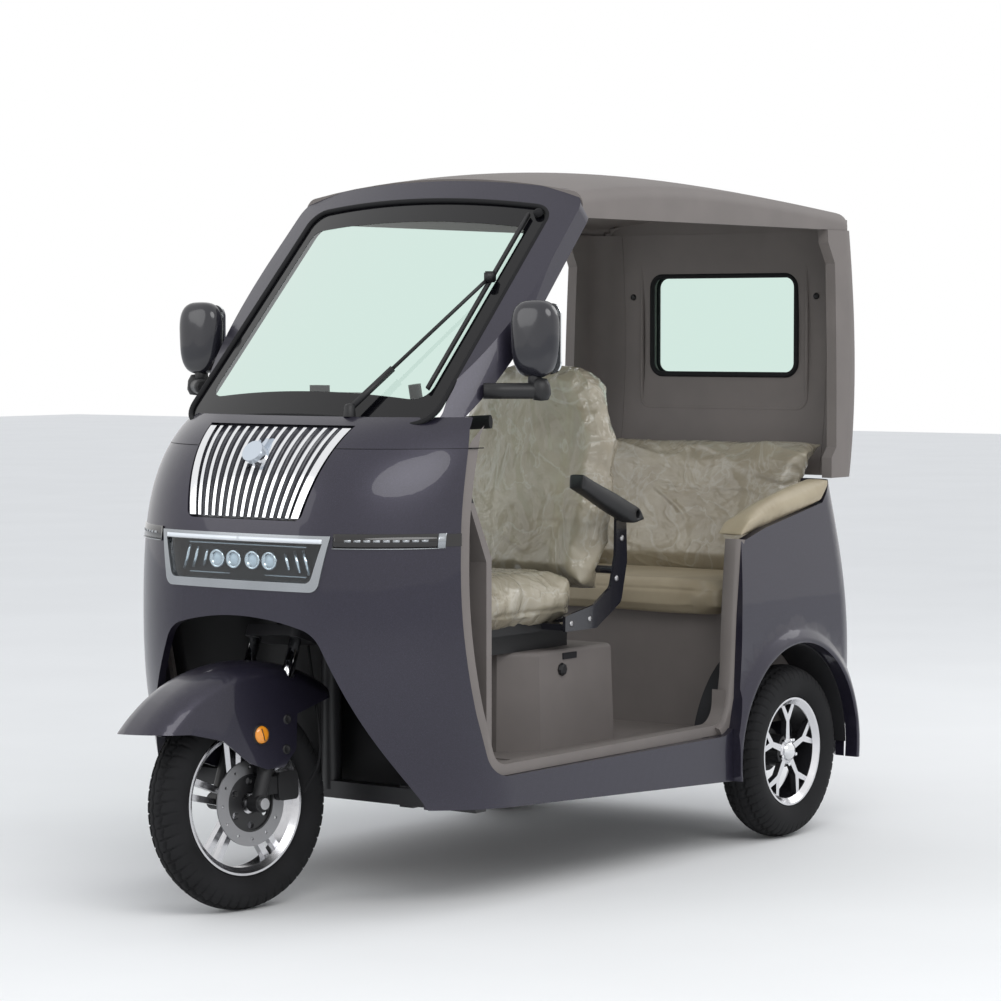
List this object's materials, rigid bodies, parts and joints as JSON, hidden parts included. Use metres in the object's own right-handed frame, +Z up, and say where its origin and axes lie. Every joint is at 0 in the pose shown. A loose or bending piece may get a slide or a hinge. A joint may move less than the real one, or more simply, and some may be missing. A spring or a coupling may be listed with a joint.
{
  "type": "three wheeled car",
  "caption": "Small electric three wheeled passenger car with a roof, open doorless sides, one steered front wheel, a driver's seat and a rear bench.",
  "frame": {"origin": "on the ground under the middle of the overall box", "axes": "+X forward, +Y to the vehicle's left, +Z up"},
  "size_m": [2.393, 1.144, 1.723],
  "materials": {
    "paint": "metallic gloss",
    "trim": "fine grain",
    "glass": "clear",
    "frame": "satin black",
    "dark": "fine grain",
    "black": "satin",
    "gloss_black": "gloss",
    "chrome": "polished",
    "lamp": "clear",
    "lamp_dark": "smoked",
    "lamp_red": "gloss",
    "mirror": "mirror",
    "vinyl": "soft grain",
    "steel": "brushed",
    "alloy": "machined",
    "tyre": "matt",
    "rubber": "matt"
  },
  "bodies": {
    "body": {"front_apron": "paint", "windscreen_frame": "paint", "windscreen_glass": "glass", "rear_panel": "paint", "quarter_panel_left": "paint", "quarter_panel_right": "paint", "rear_wall": "trim", "rear_window": "glass", "corner_pillars": "trim", "roof": "trim", "chassis_frame": "frame", "floor_pan": "trim", "dashboard": "dark", "instrument_pod": "dark", "grille": "chrome", "headlamp_housing": "dark", "headlamp_bezel": "chrome", "headlamp_lens": "lamp", "turn_lamps": "lamp_dark", "wiper": "gloss_black", "mirror_arms": "black", "mirror_shells": "gloss_black", "mirror_glasses": "mirror", "seat_box": "trim", "seat_slide": "black", "seat_cushion": "vinyl", "seat_back": "vinyl", "armrest_brackets": "gloss_black", "bench_base": "trim", "bench_cushion": "vinyl", "bench_back": "vinyl", "bolsters": "vinyl", "rear_axle": "frame", "leaf_springs": "frame", "battery_pack": "black", "tail_lamps": "lamp_red", "wheel_houses": "dark", "door_trim": "trim"},
    "fork": {"fork_yoke": "frame", "fork_sliders": "black", "front_axle": "steel", "front_fender": "paint", "brake_caliper": "black", "handlebar": "frame", "grips": "rubber"},
    "front_wheel": {"front_tyre": "tyre", "front_rim": "alloy", "brake_disc": "steel"},
    "rear_left_wheel": {"rear_tyre_left": "tyre", "rear_rim_left": "alloy"},
    "rear_right_wheel": {"rear_tyre_right": "tyre", "rear_rim_right": "alloy"},
    "armrest_left_pad": {"armrest_left": "black"},
    "armrest_right_pad": {"armrest_right": "black"}
  },
  "joints": [
    {"name": "steering", "type": "hinge", "parent": "body", "child": "fork", "pos_m": [0.86523, 0, 0.245], "axis": [-0.3502, 0, 0.9367], "range_deg": [-20, 40]},
    {"name": "front_wheel_spin", "type": "hinge", "parent": "fork", "child": "front_wheel", "pos_m": [0.89983, -0.00569, 0.24464], "axis": [0.1627, 0.9848, 0.0608], "continuous": true},
    {"name": "rear_left_spin", "type": "hinge", "parent": "body", "child": "rear_left_wheel", "pos_m": [-0.73877, 0.443, 0.225], "axis": [0, 1, 0], "continuous": true},
    {"name": "rear_right_spin", "type": "hinge", "parent": "body", "child": "rear_right_wheel", "pos_m": [-0.73877, -0.443, 0.225], "axis": [0, 1, 0], "continuous": true},
    {"name": "armrest_left_fold", "type": "hinge", "parent": "body", "child": "armrest_left_pad", "pos_m": [-0.24977, 0, 0.862], "axis": [0, -1, 0], "range_deg": [-14, 62]},
    {"name": "armrest_right_fold", "type": "hinge", "parent": "body", "child": "armrest_right_pad", "pos_m": [-0.24977, 0, 0.862], "axis": [0, -1, 0], "range_deg": [-14, 62]}
  ]
}
